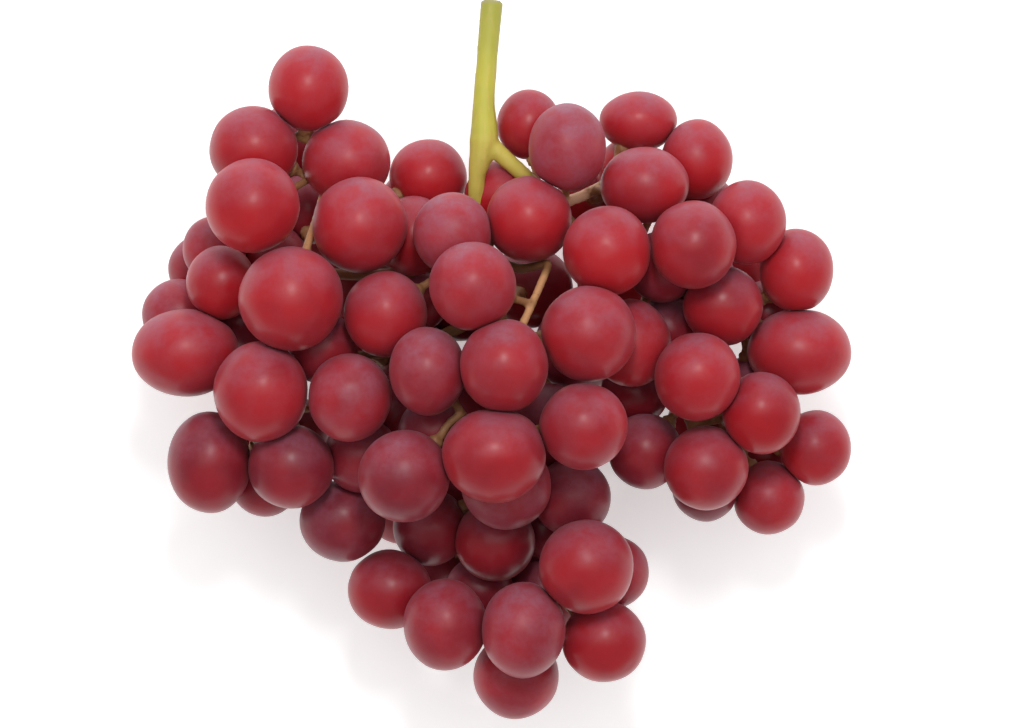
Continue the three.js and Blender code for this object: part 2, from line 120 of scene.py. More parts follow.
# each branch carries one cluster; its path: pixel column, row, height and radius
branches = [
    ("grapes_middle", [(492, 2, 44, 2.5), (487, 60, 47, 2.35), (484, 105, 49, 2.45),
                       (484, 142, 50, 3.3), (477, 178, 49.5, 1.9), (479, 220, 46, 1.9),
                       (488, 262, 43, 2), (500, 330, 41, 1.8), (497, 400, 39, 1.6),
                       (490, 450, 37, 1.6)]),
    ("grapes_tail", [(490, 448, 37, 1.6), (498, 530, 33, 1.4), (505, 590, 31, 1.2),
                     (512, 640, 30, 1)]),
    ("grapes_right_top", [(486, 142, 50, 2.2), (507, 161, 50, 1.9), (527, 179, 49, 1.8),
                          (550, 203, 46, 1.6), (575, 199, 45, 1.3), (600, 187, 43, 1.2),
                          (625, 177, 36, 1), (690, 190, 31, 0.9)]),
    ("grapes_right_side", [(548, 202, 46, 1.6), (590, 240, 43, 1.5), (640, 268, 41, 1.4),
                           (700, 300, 38, 1.1), (752, 318, 35, 0.9)]),
    ("grapes_right_low", [(638, 267, 41, 1.4), (672, 335, 39, 1.2), (705, 400, 36, 1),
                          (745, 440, 33, 0.9)]),
    ("grapes_left_top", [(477, 206, 47, 1.7), (430, 214, 44, 1.5), (370, 212, 43, 1.3),
                         (326, 186, 43, 1.2), (320, 150, 44, 1), (294, 135, 44, 0.9)]),
    ("grapes_left_side", [(483, 243, 44, 1.7), (425, 268, 43, 1.5), (350, 275, 42, 1.3),
                          (280, 268, 39, 1.1), (222, 300, 36, 0.9)]),
    ("grapes_left_low", [(495, 308, 41, 1.6), (420, 345, 40, 1.4), (345, 360, 39, 1.2),
                         (285, 385, 37, 1), (235, 430, 34, 0.9)]),
    ("grapes_middle", bareSpur),
    ("grapes_middle", [(498, 395, 39, 1.4), (480, 425, 48, 1.1), (462, 425, 57, 0.9)]),
    ("grapes_middle", [(492, 444, 37, 1.4), (545, 462, 38, 1.1), (595, 452, 37, 0.9)]),
]


def toX(column):
    return (column - bunch["middleColumn"]) * bunch["pixel"]


def toY(row):
    return (bunch["middleRow"] - row) * bunch["pixel"]


# keeps a value from 0 to 1
def share(value):
    return min(1, max(0, value))


draw = {"state": 36, "factor": 1664525, "step": 1013904223, "count": 4294967296}


# a repeatable run of numbers from 0 to 1
def randomShare():
    draw["state"] = (draw["state"] * draw["factor"] + draw["step"]) % draw["count"]
    return draw["state"] / draw["count"]


def makeGrape(x, y, halfX, halfY, halfZ, seen):
    return SimpleNamespace(x=x, y=y, z=0, halfX=halfX, halfY=halfY, halfZ=halfZ, homeX=x,
                           homeY=y, seen=seen, cluster="", root=None, inward=math.inf)


def meanRadius(grape):
    return (grape.halfX + grape.halfY) / 2


# how far a grape reaches along a direction
def reachAlong(grape, ux, uy, uz):
    a = grape.halfX * ux
    b = grape.halfY * uy
    c = grape.halfZ * uz
    return math.sqrt(a * a + b * b + c * c)


# free room between two grapes, negative where they press on each other
def roomBetween(a, b):
    dx = b.x - a.x
    dy = b.y - a.y
    dz = b.z - a.z
    distance = math.sqrt(dx * dx + dy * dy + dz * dz)
    ux = dx / distance
    uy = dy / distance
    uz = dz / distance
    return distance - reachAlong(a, ux, uy, uz) - reachAlong(b, ux, uy, uz)


# height of the bunch's upper skin, with a side of 1, or of its underside, with -1
def skinHeight(x, y, side):
    swell = 0
    for column, row, halfX, halfY, rise, hang in swells:
        across = (x - toX(column)) / (halfX * bunch["pixel"])
        along = (y - toY(row)) / (halfY * bunch["pixel"])
        inside = 1 - across * across - along * along
        if inside > 0:
            swell = max(swell, math.sqrt(inside) * (rise if side > 0 else hang))
    return bunch["widestHeight"] + side * swell


# the greatest height at which a grape lies behind those placed before it
def heightBehind(grape, placed, ceiling):
    height = ceiling
    for front in placed:
        dx = front.x - grape.x
        dy = front.y - grape.y
        across = math.sqrt(dx * dx + dy * dy)
        reach = meanRadius(front) + meanRadius(grape) - bunch["press"]
        if across < reach:
            height = min(height, front.z - math.sqrt(reach * reach - across * across))
    return height


# how many pixels inside the outline a place lies, negative outside it
def insideOutline(column, row):
    inside = False
    nearest = math.inf
    for index, (x2, y2) in enumerate(outline):
        x1, y1 = outline[index - 1]
        if (y1 > row) != (y2 > row) and column < ((x2 - x1) * (row - y1)) / (y2 - y1) + x1:
            inside = not inside
        length = (x2 - x1) * (x2 - x1) + (y2 - y1) * (y2 - y1)
        along = share(((column - x1) * (x2 - x1) + (row - y1) * (y2 - y1)) / length)
        dx = column - x1 - along * (x2 - x1)
        dy = row - y1 - along * (y2 - y1)
        nearest = min(nearest, math.sqrt(dx * dx + dy * dy))
    return nearest if inside else -nearest


def placeGrapes(measured, seen, placed):
    for column, row, halfWidth, halfHeight in measured:
        halfX = halfWidth * bunch["pixel"]
        halfY = halfHeight * bunch["pixel"]
        grape = makeGrape(toX(column), toY(row), halfX, halfY, (halfX + halfY) / 2, seen)
        ceiling = skinHeight(grape.x, grape.y, 1) - grape.halfZ
        grape.z = heightBehind(grape, placed, ceiling)
        placed.append(grape)


def coversClearing(column, row, radius):
    for gapColumn, gapRow, gapRadius in clearings:
        dx = gapColumn - column
        dy = gapRow - row
        if math.sqrt(dx * dx + dy * dy) < gapRadius + radius / bunch["pixel"]:
            return True
    return False


# hidden grapes fill the bunch behind the seen ones, layer under layer, to the table
def addHiddenGrapes(placed):
    layers = 5
    rows = 5
    spacing = 18.8
    rowStep = 16.6
    wander = 4.5    # how far a grape strays from its place in the row
    shift = 0.33    # how far every other layer is moved on, a share of a row
    narrowest = 0.96
    widening = 0.1  # a grape is up to this much wider than the narrowest
    tooLow = 0.45   # share of a radius that a grape may be too low
    for layer in range(layers):
        for row in range(-rows, rows + 1):
            for column in range(-rows, rows + 1):
                stagger = (0 if row % 2 == 0 else 0.5) + (0 if layer % 2 == 0 else 0.5)
                rowShift = 0 if layer % 2 == 0 else shift
                x = (column + stagger) * spacing + (randomShare() - 0.5) * wander
                y = (row + rowShift) * rowStep + (randomShare() - 0.5) * wander
                radius = bunch["hiddenRadius"] + (randomShare() - 0.5) * 2 * bunch["hiddenSpread"]
                halfX = radius * (narrowest + widening * randomShare())
                halfY = radius * (narrowest + widening * randomShare())
                pixelX = x / bunch["pixel"] + bunch["middleColumn"]
                pixelY = bunch["middleRow"] - y / bunch["pixel"]
                if insideOutline(pixelX, pixelY) < bunch["outlineMargin"]:
                    continue
                if coversClearing(pixelX, pixelY, radius):
                    continue
                grape = makeGrape(x, y, halfX, halfY, radius, False)
                lowest = max(0, skinHeight(x, y, -1)) + radius
                height = heightBehind(grape, placed, math.inf)
                if height == math.inf or height < lowest - radius * tooLow:
                    continue
                grape.z = max(height, lowest - bunch["squash"])
                placed.append(grape)


# points along every branch, a short step apart
def stemPoints():
    step = 2
    bareRow = 150  # above this pixel row the stem carries no grapes
    places = []
    for cluster, path in branches:
        if path is bareSpur:
            continue
        for (column1, row1, z1, _), (column2, row2, z2, _) in zip(path, path[1:]):
            if row2 < bareRow:
                continue
            x1 = toX(column1)
            y1 = toY(row1)
            dx = toX(column2) - x1
            dy = toY(row2) - y1
            dz = z2 - z1
            count = math.ceil(math.sqrt(dx * dx + dy * dy + dz * dz) / step)
            for part in range(count):
                t = part / count
                places.append(SimpleNamespace(x=x1 + t * dx, y=y1 + t * dy, z=z1 + t * dz,
                                              cluster=cluster))
    return places


# distance from a point to the straight line between two others
def distanceToLine(point, start, end):
    dx = end.x - start.x
    dy = end.y - start.y
    dz = end.z - start.z
    length = dx * dx + dy * dy + dz * dz or 1
    along = ((point.x - start.x) * dx + (point.y - start.y) * dy
             + (point.z - start.z) * dz) / length
    t = share(along)
    ex = point.x - start.x - t * dx
    ey = point.y - start.y - t * dy
    ez = point.z - start.z - t * dz
    return math.sqrt(ex * ex + ey * ey + ez * ez)


# gives a grape the cluster whose branch suits a stalk of the usual length best
def chooseCluster(grape, places):
    best = math.inf
    for place in places:
        reach = distanceToLine(grape, place, place) - meanRadius(grape)
        misfit = abs(reach - bunch["stalkReach"])
        if misfit < best:
            best = misfit
            grape.cluster = place.cluster


# a grape that touches none of its cluster goes to its nearest neighbour's cluster
def chooseClusters(grapes, places):
    rounds = 3
    loose = 1.2     # room by which its own cluster may be further off than another
    for grape in grapes:
        chooseCluster(grape, places)
    for _ in range(rounds):
        for grape in grapes:
            nearestRoom = math.inf
            nearestCluster = grape.cluster
            ownRoom = math.inf
            for other in grapes:
                if other is grape:
                    continue
                room = roomBetween(grape, other)
                if room < nearestRoom:
                    nearestRoom = room
                    nearestCluster = other.cluster
                if other.cluster == grape.cluster:
                    ownRoom = min(ownRoom, room)
            if ownRoom > nearestRoom + loose:
                grape.cluster = nearestCluster


# the shortest set of links that joins all grapes of each cluster
def clusterLinks(grapes):
    links = []
    for name in dict.fromkeys(grape.cluster for grape in grapes):
        members = [grape for grape in grapes if grape.cluster == name]
        joined = [members.pop(0)]
        while members:
            best = math.inf
            link = None
            for a in joined:
                for b in members:
                    room = roomBetween(a, b)
                    if room < best:
                        best = room
                        link = (a, b)
            links.append(link)
            joined.append(link[1])
            members.remove(link[1])
    return links


# moves two grapes apart, or together if the amount is negative
def spread(a, b, amount):
    seenFreedom = 0.25
    dx = b.x - a.x
    dy = b.y - a.y
    dz = b.z - a.z
    half = amount / math.sqrt(dx * dx + dy * dy + dz * dz) / 2
    freedomA = seenFreedom if a.seen else 1
    freedomB = seenFreedom if b.seen else 1
    a.x -= dx * half * freedomA
    a.y -= dy * half * freedomA
    a.z -= dz * half
    b.x += dx * half * freedomB
    b.y += dy * half * freedomB
    b.z += dz * half


# grapes settle against each other: those of one cluster press, clusters stay apart
def settle(grapes):
    passes = 120
    linkEvery = 20
    pushShare = 0.6
    pullShare = 0.8
    homeShare = 0.15
    tableReach = 3
    sinkShare = 0.2
    nearby = 1.2    # grapes this many times their radii apart, or more, can't touch
    links = []
    for turn in range(passes):
        if turn % linkEvery == 0:
            links = clusterLinks(grapes)
        for i, a in enumerate(grapes):
            for b in grapes[i + 1:]:
                total = meanRadius(a) + meanRadius(b)
                if abs(a.x - b.x) > total * nearby or abs(a.y - b.y) > total * nearby:
                    continue
                apart = bunch["clusterGap"] + (bunch["facetGrowth"] - 1) * total
                least = -bunch["press"] if a.cluster == b.cluster else apart
                short = least - roomBetween(a, b)
                if short > 0:
                    spread(a, b, short * pushShare)
        for a, b in links:
            gap = roomBetween(a, b) + bunch["press"]
            if gap > 0:
                spread(a, b, -gap * pullShare)
        for grape in grapes:
            if grape.seen:
                grape.x += (grape.homeX - grape.x) * homeShare
                grape.y += (grape.homeY - grape.y) * homeShare
            lift = grape.z - grape.halfZ + bunch["squash"]
            if not grape.seen and lift < tableReach:
                grape.z -= lift * sinkShare
            grape.z = max(grape.z, grape.halfZ - bunch["squash"])


# the clearest way for a grape's stalk, from the places where it may spring
def bestRoot(grape, places, grapes):
    lengthWeight = 0.3
    clearance = 1.8
    shortest = 2.5
    best = math.inf
    root = None
    for place in places:
        if place.cluster != grape.cluster:
            continue
        length = distanceToLine(grape, place, place) - meanRadius(grape)
        if length < shortest:
            continue
        cost = lengthWeight * abs(length - bunch["stalkReach"])
        for other in grapes:
            if cost > best:
                break
            if other is grape:
                continue
            tight = meanRadius(other) + clearance - distanceToLine(other, place, grape)
            cost += max(0, tight)
        if cost < best:
            best = cost
            root = place
    return root


# a stalk springs from a branch or from an earlier stalk, so that stalks fork too
def hangGrapes(grapes, points):
    step = 2
    bareEnd = 4
    places = list(points)
    for grape in grapes:
        for point in points:
            if point.cluster == grape.cluster:
                grape.inward = min(grape.inward, distanceToLine(grape, point, point))
    for index, (column, row, height) in placedStalks:
        grapes[index].root = SimpleNamespace(x=toX(column), y=toY(row), z=height)
    for grape in sorted(grapes, key=lambda each: each.inward):
        if not grape.root:
            grape.root = bestRoot(grape, places, grapes)
        root = grape.root
        length = distanceToLine(grape, root, root)
        along = step
        while along < length - meanRadius(grape) - bareEnd:
            t = along / length
            places.append(SimpleNamespace(
                x=root.x + t * (grape.x - root.x), y=root.y + t * (grape.y - root.y),
                z=root.z + t * (grape.z - root.z), cluster=grape.cluster))
            along += step


points = stemPoints()
grapes = []
placeGrapes(seenGrapes, True, grapes)
placeGrapes(gapGrapes, False, grapes)
addHiddenGrapes(grapes)
chooseClusters(grapes, points)
settle(grapes)
hangGrapes(grapes, points)
print("layout:", len(grapes), "grapes")

plantGloss = 1.42  # refractive index of the skin of grapes and stem

grapeSkin = {
    "red": (0.43, 0.010, 0.014, 1),
    "wineAndShade": (0.19, 0.009, 0.018, 1),
    "bloom": (0.31, 0.13, 0.185, 1),
    "stalkEnd": (0.42, 0.16, 0.06, 1),
    "scar": (0.10, 0.03, 0.015, 1),
    "broadNoise": (70,),    # scale of each noise, and its detail and roughness
    "patchNoise": (190, 3),
    "fineNoise": (900, 3, 0.6),
    # from and to which value the noise, the bloom or the height counts, and as how much
    "blotch": (0.35, 0.7, -0.15, 0.25),
    "patchDust": (0.3, 0.7, 0.35, 1.0),
    "fineDust": (0.3, 0.62, 0.75, 1.0),
    "stalkRing": (-0.955, -0.99),
    "tipDot": (0.9965, 0.9985),
    "roughness": (0.0, 0.5, 0.31, 0.48),
    "specular": 0.32,
    "sheen": 0.05,
    "sheenRoughness": 0.45,
    "sheenTint": (0.92, 0.78, 0.88, 1),
    "subsurface": 0.25,
    "bleed": (1.0, 0.25, 0.18),
    "bleedDepth": 0.003,
    "grainStrength": 0.05,
    "grainDepth": 0.0003,
}


def newMaterial(name):
    material = bpy.data.materials.new(name)
    material.use_nodes = True
    nodes = material.node_tree.nodes
    return material, nodes, material.node_tree.links, nodes["Principled BSDF"]


# a value stored at each point of the mesh
def storedValue(nodes, name):
    node = nodes.new("ShaderNodeAttribute")
    node.attribute_name = name
    return node.outputs["Fac"]


def mixColours(nodes, links, factor, first, second):
    mix = nodes.new("ShaderNodeMix")
    mix.data_type = "RGBA"
    links.new(factor, mix.inputs["Factor"])
    for value, socket in ((first, mix.inputs["A"]), (second, mix.inputs["B"])):
        if isinstance(value, tuple):
            socket.default_value = value
        else:
            links.new(value, socket)
    return mix.outputs["Result"]


def mapRange(nodes, links, value, low, high, toLow=0.0, toHigh=1.0):
    node = nodes.new("ShaderNodeMapRange")
    node.interpolation_type = "SMOOTHSTEP"
    links.new(value, node.inputs["Value"])
    node.inputs["From Min"].default_value = low
    node.inputs["From Max"].default_value = high
    node.inputs["To Min"].default_value = toLow
    node.inputs["To Max"].default_value = toHigh
    return node.outputs["Result"]


# adds or multiplies two values
def combine(nodes, links, operation, first, second, clamped=False):
    node = nodes.new("ShaderNodeMath")
    node.operation = operation
    node.use_clamp = clamped
    links.new(first, node.inputs[0])
    links.new(second, node.inputs[1])
    return node.outputs[0]


def noiseNode(nodes, links, place, scale, detail=2.0, roughness=0.5):
    node = nodes.new("ShaderNodeTexNoise")
    links.new(place, node.inputs["Vector"])
    node.inputs["Scale"].default_value = scale
    node.inputs["Detail"].default_value = detail
    node.inputs["Roughness"].default_value = roughness
    return node.outputs["Fac"]


def bumpInto(nodes, links, shader, height, strength, distance):
    bump = nodes.new("ShaderNodeBump")
    bump.inputs["Strength"].default_value = strength
    bump.inputs["Distance"].default_value = distance
    links.new(height, bump.inputs["Height"])
    links.new(bump.outputs["Normal"], shader.inputs["Normal"])


# how light enters the skin of grapes and stem alike
def setDepth(shader, skin):
    shader.inputs["IOR"].default_value = plantGloss
    shader.inputs["Subsurface Weight"].default_value = skin["subsurface"]
    shader.inputs["Subsurface Radius"].default_value = skin["bleed"]
    shader.inputs["Subsurface Scale"].default_value = skin["bleedDepth"]


# what is stored at each point of a grape: how far along from stalk to tip, how dark, partly
# painted shade, and how dusty, with painted sheen on the side towards the cut end
grapeTints = ("along", "wineAndShade", "bloom")


def makeGrapeMaterial():
    material, nodes, links, shader = newMaterial("grapeSkin")
    place = nodes.new("ShaderNodeTexCoord").outputs["Object"]
    along, wineAndShade, bloom = [storedValue(nodes, name) for name in grapeTints]
    broad = noiseNode(nodes, links, place, *grapeSkin["broadNoise"])
    patchy = noiseNode(nodes, links, place, *grapeSkin["patchNoise"])
    fine = noiseNode(nodes, links, place, *grapeSkin["fineNoise"])

    blotch = mapRange(nodes, links, broad, *grapeSkin["blotch"])
    # darkness mixes in the wine colour, which also carries painted shade: darker lower rows and
    # hidden grapes
    darkness = combine(nodes, links, "ADD", wineAndShade, blotch, True)
    skin = mixColours(nodes, links, darkness, grapeSkin["red"], grapeSkin["wineAndShade"])

    patchDust = mapRange(nodes, links, patchy, *grapeSkin["patchDust"])
    fineDust = mapRange(nodes, links, fine, *grapeSkin["fineDust"])
    # this mixes in the bloom colour: real bloom, plus the painted sheen stored on the side
    # towards the cut end
    dustAndSheen = combine(nodes, links, "MULTIPLY", bloom, patchDust)
    dustAndSheen = combine(nodes, links, "MULTIPLY", dustAndSheen, fineDust)
    dustedAndSheened = mixColours(nodes, links, dustAndSheen, skin, grapeSkin["bloom"])

    stalkRing = mapRange(nodes, links, along, *grapeSkin["stalkRing"])
    ringed = mixColours(nodes, links, stalkRing, dustedAndSheened, grapeSkin["stalkEnd"])
    tipDot = mapRange(nodes, links, along, *grapeSkin["tipDot"])
    colour = mixColours(nodes, links, tipDot, ringed, grapeSkin["scar"])
    links.new(colour, shader.inputs["Base Color"])
    roughness = mapRange(nodes, links, dustAndSheen, *grapeSkin["roughness"])
    links.new(roughness, shader.inputs["Roughness"])
    setDepth(shader, grapeSkin)
    shader.inputs["Specular IOR Level"].default_value = grapeSkin["specular"]
    shader.inputs["Sheen Weight"].default_value = grapeSkin["sheen"]
    shader.inputs["Sheen Roughness"].default_value = grapeSkin["sheenRoughness"]
    shader.inputs["Sheen Tint"].default_value = grapeSkin["sheenTint"]
    bumpInto(nodes, links, shader, fine, grapeSkin["grainStrength"], grapeSkin["grainDepth"])
    return material


stemSkin = {
    "green": (0.50, 0.46, 0.062, 1),
    "olive": (0.37, 0.36, 0.055, 1),
    "tan": (0.85, 0.46, 0.21, 1),
    # painted light: a bright colour for the lit stub of the upper right branch
    "paintedLight": (1.0, 0.66, 0.42, 1),
    # painted shade: a dark red-brown for stalks and branches inside the bunch
    "paintedShade": (0.17, 0.060, 0.026, 1),
    "speck": (0.25, 0.12, 0.04, 1),
    "cut": (0.36, 0.33, 0.14, 1),
    "stretch": (1, 0.12, 1),    # draws the streaks out along the bare stem
    "streakNoise": (900, 3),    # scale and detail of each noise
    "broadNoise": (120,),
    "speckNoise": (1500,),
    # from and to which value the noise counts, and as how much
    "mottle": (0.4, 0.8, 0, 0.5),
    "streaks": (0.5, 0.8, 0, 0.2),
    "specks": (0.62, 0.72, 0, 0.5),
    "roughness": 0.55,
    "subsurface": 0.12,
    "bleed": (1.0, 0.8, 0.3),
    "bleedDepth": 0.0015,
    "grainStrength": 0.12,
    "grainDepth": 0.0004,
}

# what is stored at each point of the stem
stemTints = ("tan", "paintedShade", "paintedLight", "olive", "cut")


def makeStemMaterial():
    material, nodes, links, shader = newMaterial("greenStem")
    place = nodes.new("ShaderNodeTexCoord").outputs["Object"]
    tan, paintedShade, paintedLight, olive, cut = [storedValue(nodes, name) for name in stemTints]
    stretch = nodes.new("ShaderNodeMapping")
    stretch.inputs["Scale"].default_value = stemSkin["stretch"]
    links.new(place, stretch.inputs["Vector"])
    fine = noiseNode(nodes, links, stretch.outputs["Vector"], *stemSkin["streakNoise"])
    broad = noiseNode(nodes, links, place, *stemSkin["broadNoise"])
    dots = noiseNode(nodes, links, place, *stemSkin["speckNoise"])

    mottle = mapRange(nodes, links, broad, *stemSkin["mottle"])
    streaks = mapRange(nodes, links, fine, *stemSkin["streaks"])
    specks = mapRange(nodes, links, dots, *stemSkin["specks"])
    mottled = mixColours(nodes, links, mottle, stemSkin["green"], stemSkin["olive"])
    topped = mixColours(nodes, links, olive, mottled, stemSkin["olive"])
    striped = mixColours(nodes, links, streaks, topped, stemSkin["tan"])
    specked = mixColours(nodes, links, specks, stemSkin["tan"], stemSkin["speck"])
    tanned = mixColours(nodes, links, tan, striped, specked)
    # painted shade darkens the stalks and the branches inside the bunch
    withPaintedShade = mixColours(nodes, links, paintedShade, tanned, stemSkin["paintedShade"])
    # painted light brightens the lit stub of the upper right branch
    withPaintedLight = mixColours(nodes, links, paintedLight, withPaintedShade, stemSkin["paintedLight"])
    colour = mixColours(nodes, links, cut, withPaintedLight, stemSkin["cut"])
    links.new(colour, shader.inputs["Base Color"])
    shader.inputs["Roughness"].default_value = stemSkin["roughness"]
    setDepth(shader, stemSkin)
    bumpInto(nodes, links, shader, fine, stemSkin["grainStrength"], stemSkin["grainDepth"])
    return material


grapeMaterial = makeGrapeMaterial()
stemMaterial = makeStemMaterial()
print("materials made")

grapeForm = {
    "segments": 48,
    "rings": 30,
    "dimpleWidth": 0.17,    # shares of the radius
    "dimpleDepth": 0.045,
    "tipWidth": 0.09,
    "tipDepth": 0.012,
    "mergeReach": 0.00001,
    "pressReach": 0.6,      # room, in millimetres, below which two grapes count as pressed
    "softness": 0.25,       # how round the edge of a pressed spot is, in millimetres
    "pressBand": (-6, 30),  # in that measure, where a spot starts to count, and is flat
    "lumps": 0.024,         # unevenness, a share of the radius
    "lumpScale": 1.3,
    "seedStep": (7.31, 3.77, 1.93),     # takes each grape to its own place in the noise
    # painted shade: the grapes grow darker from the upper rows down to the lower ones, as the
    # light falls off
    "lightRow": 90,         # from this pixel row down to the next the grapes grow darker
    "darkRow": 640,
    "lowPaintedShade": 0.6,         # how much darker the lowest are
    "wineSpread": 0.5,      # how much they differ from one another
    "wineScale": 1.7,
    "bloom": 0.12,
    "bloomSpread": 0.2,
    "bloomScale": 2.3,
    "bloomShift": (5, 5, 5),
    "shoulderSheen": 0.52,  # painted sheen: more of the bloom colour on the side towards the cut end, where the light falls
    "shoulderSlope": 1.1,   # how fast it sets in, and where
    "shoulderStart": 0.1,
    # every hidden grape gets the deep darkening too, as painted shade inside the bunch
    "deepWineAndShade": 0.4,        # what the grapes named below have more or less than the others
    "brightWine": 0.3,
    "dustyBloom": 0.16,
    "dustyWine": 0.25,
    # places in seenGrapes of the darker grapes, the lighter ones, and those with most bloom
    "deep": (20, 21, 36, 43, 45, 46, 48, 49, 53, 58, 59),
    "bright": (3, 4, 6, 12, 24, 25, 29, 30, 31, 37, 39, 50, 51),
    "dusty": (8, 9, 17, 19, 26, 55, 56, 57),
}


# one round grape of radius 1: its outline is spun round the line from stalk to tip
def makeGrapeTemplate():
    shape = bmesh.new()
    rings = grapeForm["rings"]
    verts = []
    for ring in range(rings + 1):
        angle = math.pi * ring / rings
        radius = math.sin(angle)
        height = -math.cos(angle)
        if height < 0:
            dimple = math.exp(-(radius / grapeForm["dimpleWidth"]) ** 2)
            height += grapeForm["dimpleDepth"] * dimple
        else:
            tip = math.exp(-(radius / grapeForm["tipWidth"]) ** 2)
            height -= grapeForm["tipDepth"] * tip
        verts.append(shape.verts.new((radius, 0, height)))
    edges = [shape.edges.new(pair) for pair in zip(verts, verts[1:])]
    bmesh.ops.spin(shape, geom=verts + edges, cent=(0, 0, 0), axis=(0, 0, 1),
                   angle=2 * math.pi, steps=grapeForm["segments"], use_merge=True)
    bmesh.ops.remove_doubles(shape, verts=shape.verts, dist=grapeForm["mergeReach"])
    bmesh.ops.recalc_face_normals(shape, faces=shape.faces)
    mesh = bpy.data.meshes.new("grapeTemplate")
    shape.to_mesh(mesh)
    shape.free()
    return mesh


# the flat spots of a grape: directions and distances of its neighbours and the table
def pressedSpots(grape):
    spots = []
    for other in grapes:
        if other is grape:
            continue
        room = roomBetween(grape, other)
        if room > grapeForm["pressReach"]:
            continue
        out = Vector((other.x - grape.x, other.y - grape.y, other.z - grape.z)).normalized()
        spots.append((out, reachAlong(grape, out.x, out.y, out.z) + min(room, 0) / 2))
    if grape.z < grape.halfZ + grapeForm["pressReach"]:
        spots.append((Vector((0, 0, -1)), grape.z))
    return spots


# how dark, partly painted shade, and how dusty a grape is, both from 0 to 1
def grapeTone(grape, index, seed):
    # painted shade: darker towards the lower rows
    light = toY(grapeForm["lightRow"])
    down = (light - grape.y) / (light - toY(grapeForm["darkRow"]))
    wineAndShade = grapeForm["lowPaintedShade"] * share(down)
    wineAndShade += grapeForm["wineSpread"] * noise.noise(seed * grapeForm["wineScale"])
    bloomPlace = seed * grapeForm["bloomScale"] + Vector(grapeForm["bloomShift"])
    bloom = grapeForm["bloom"] + grapeForm["bloomSpread"] * noise.noise(bloomPlace)
    # painted shade: every hidden grape is darkened as if shaded inside the bunch; the listed deep
    # grapes get it as their own darker colour
    if index in grapeForm["deep"] or not grape.seen:
        wineAndShade += grapeForm["deepWineAndShade"]
    if index in grapeForm["bright"]:
        wineAndShade -= grapeForm["brightWine"]
    if index in grapeForm["dusty"]:
        bloom += grapeForm["dustyBloom"]
        wineAndShade += grapeForm["dustyWine"]
    return share(wineAndShade), share(bloom)


# turns, stretches and presses a round grape into its place in the bunch
def shapeGrape(verts, grape, index, along, layers):
    middle = Vector((grape.x, grape.y, grape.z))
    outward = (middle - Vector((grape.root.x, grape.root.y, grape.root.z))).normalized()
    turn = outward.to_track_quat("Z", "Y").to_matrix()
    halves = Vector((grape.halfX, grape.halfY, grape.halfZ))
    seed = Vector([index * step for step in grapeForm["seedStep"]])
    spots = pressedSpots(grape)
    soft = grapeForm["softness"]
    touched, flat = grapeForm["pressBand"]
    wineAndShade, bloom = grapeTone(grape, index, seed)
    for vert, height in zip(verts, along):
        spot = turn @ vert.co
        lump = 1 + grapeForm["lumps"] * noise.noise(spot * grapeForm["lumpScale"] + seed)
        spot = Vector((spot.x * halves.x, spot.y * halves.y, spot.z * halves.z)) * lump
        for out, reach in spots:
            beyond = (spot.dot(out) - reach) / soft
            if beyond > touched:
                spot -= out * (soft * math.log1p(math.exp(min(beyond, flat))))
        # painted sheen: the side facing the cut end, where the light comes from, gets more bloom
        # colour
        paintedSheen = share((turn @ vert.normal).y * grapeForm["shoulderSlope"]
                         + grapeForm["shoulderStart"])
        vert.co = (spot + middle) * mm
        vert[layers["along"]] = height
        vert[layers["wineAndShade"]] = wineAndShade
        # the stored bloom also carries the painted sheen on the side facing the cut end
        vert[layers["bloom"]] = bloom + grapeForm["shoulderSheen"] * paintedSheen


def finishPiece(mesh, name, material, nodeNames):
    mesh.shade_smooth()
    mesh.materials.append(material)
    piece = bpy.data.objects.new(name, mesh)
    bpy.context.scene.collection.objects.link(piece)
    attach(piece, "root")
    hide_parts(*nodeNames)


template = makeGrapeTemplate()
templateAlong = [vert.co.z for vert in template.vertices]


def addCluster(name):
    shape = bmesh.new()
    layers = {key: shape.verts.layers.float.new(key) for key in grapeTints}
    for index, grape in enumerate(grapes):
        if grape.cluster != name:
            continue
        start = len(shape.verts)
        shape.from_mesh(template)
        shape.verts.ensure_lookup_table()
        shapeGrape(shape.verts[start:], grape, index, templateAlong, layers)
    mesh = bpy.data.meshes.new(name + "_skin")
    shape.to_mesh(mesh)
    shape.free()
    finishPiece(mesh, name + "_skin", grapeMaterial, [name])


clusterNames = list(dict.fromkeys(cluster for cluster, _ in branches))
for clusterName in clusterNames:
    addCluster(clusterName)
bpy.data.meshes.remove(template)
print("grapes made")

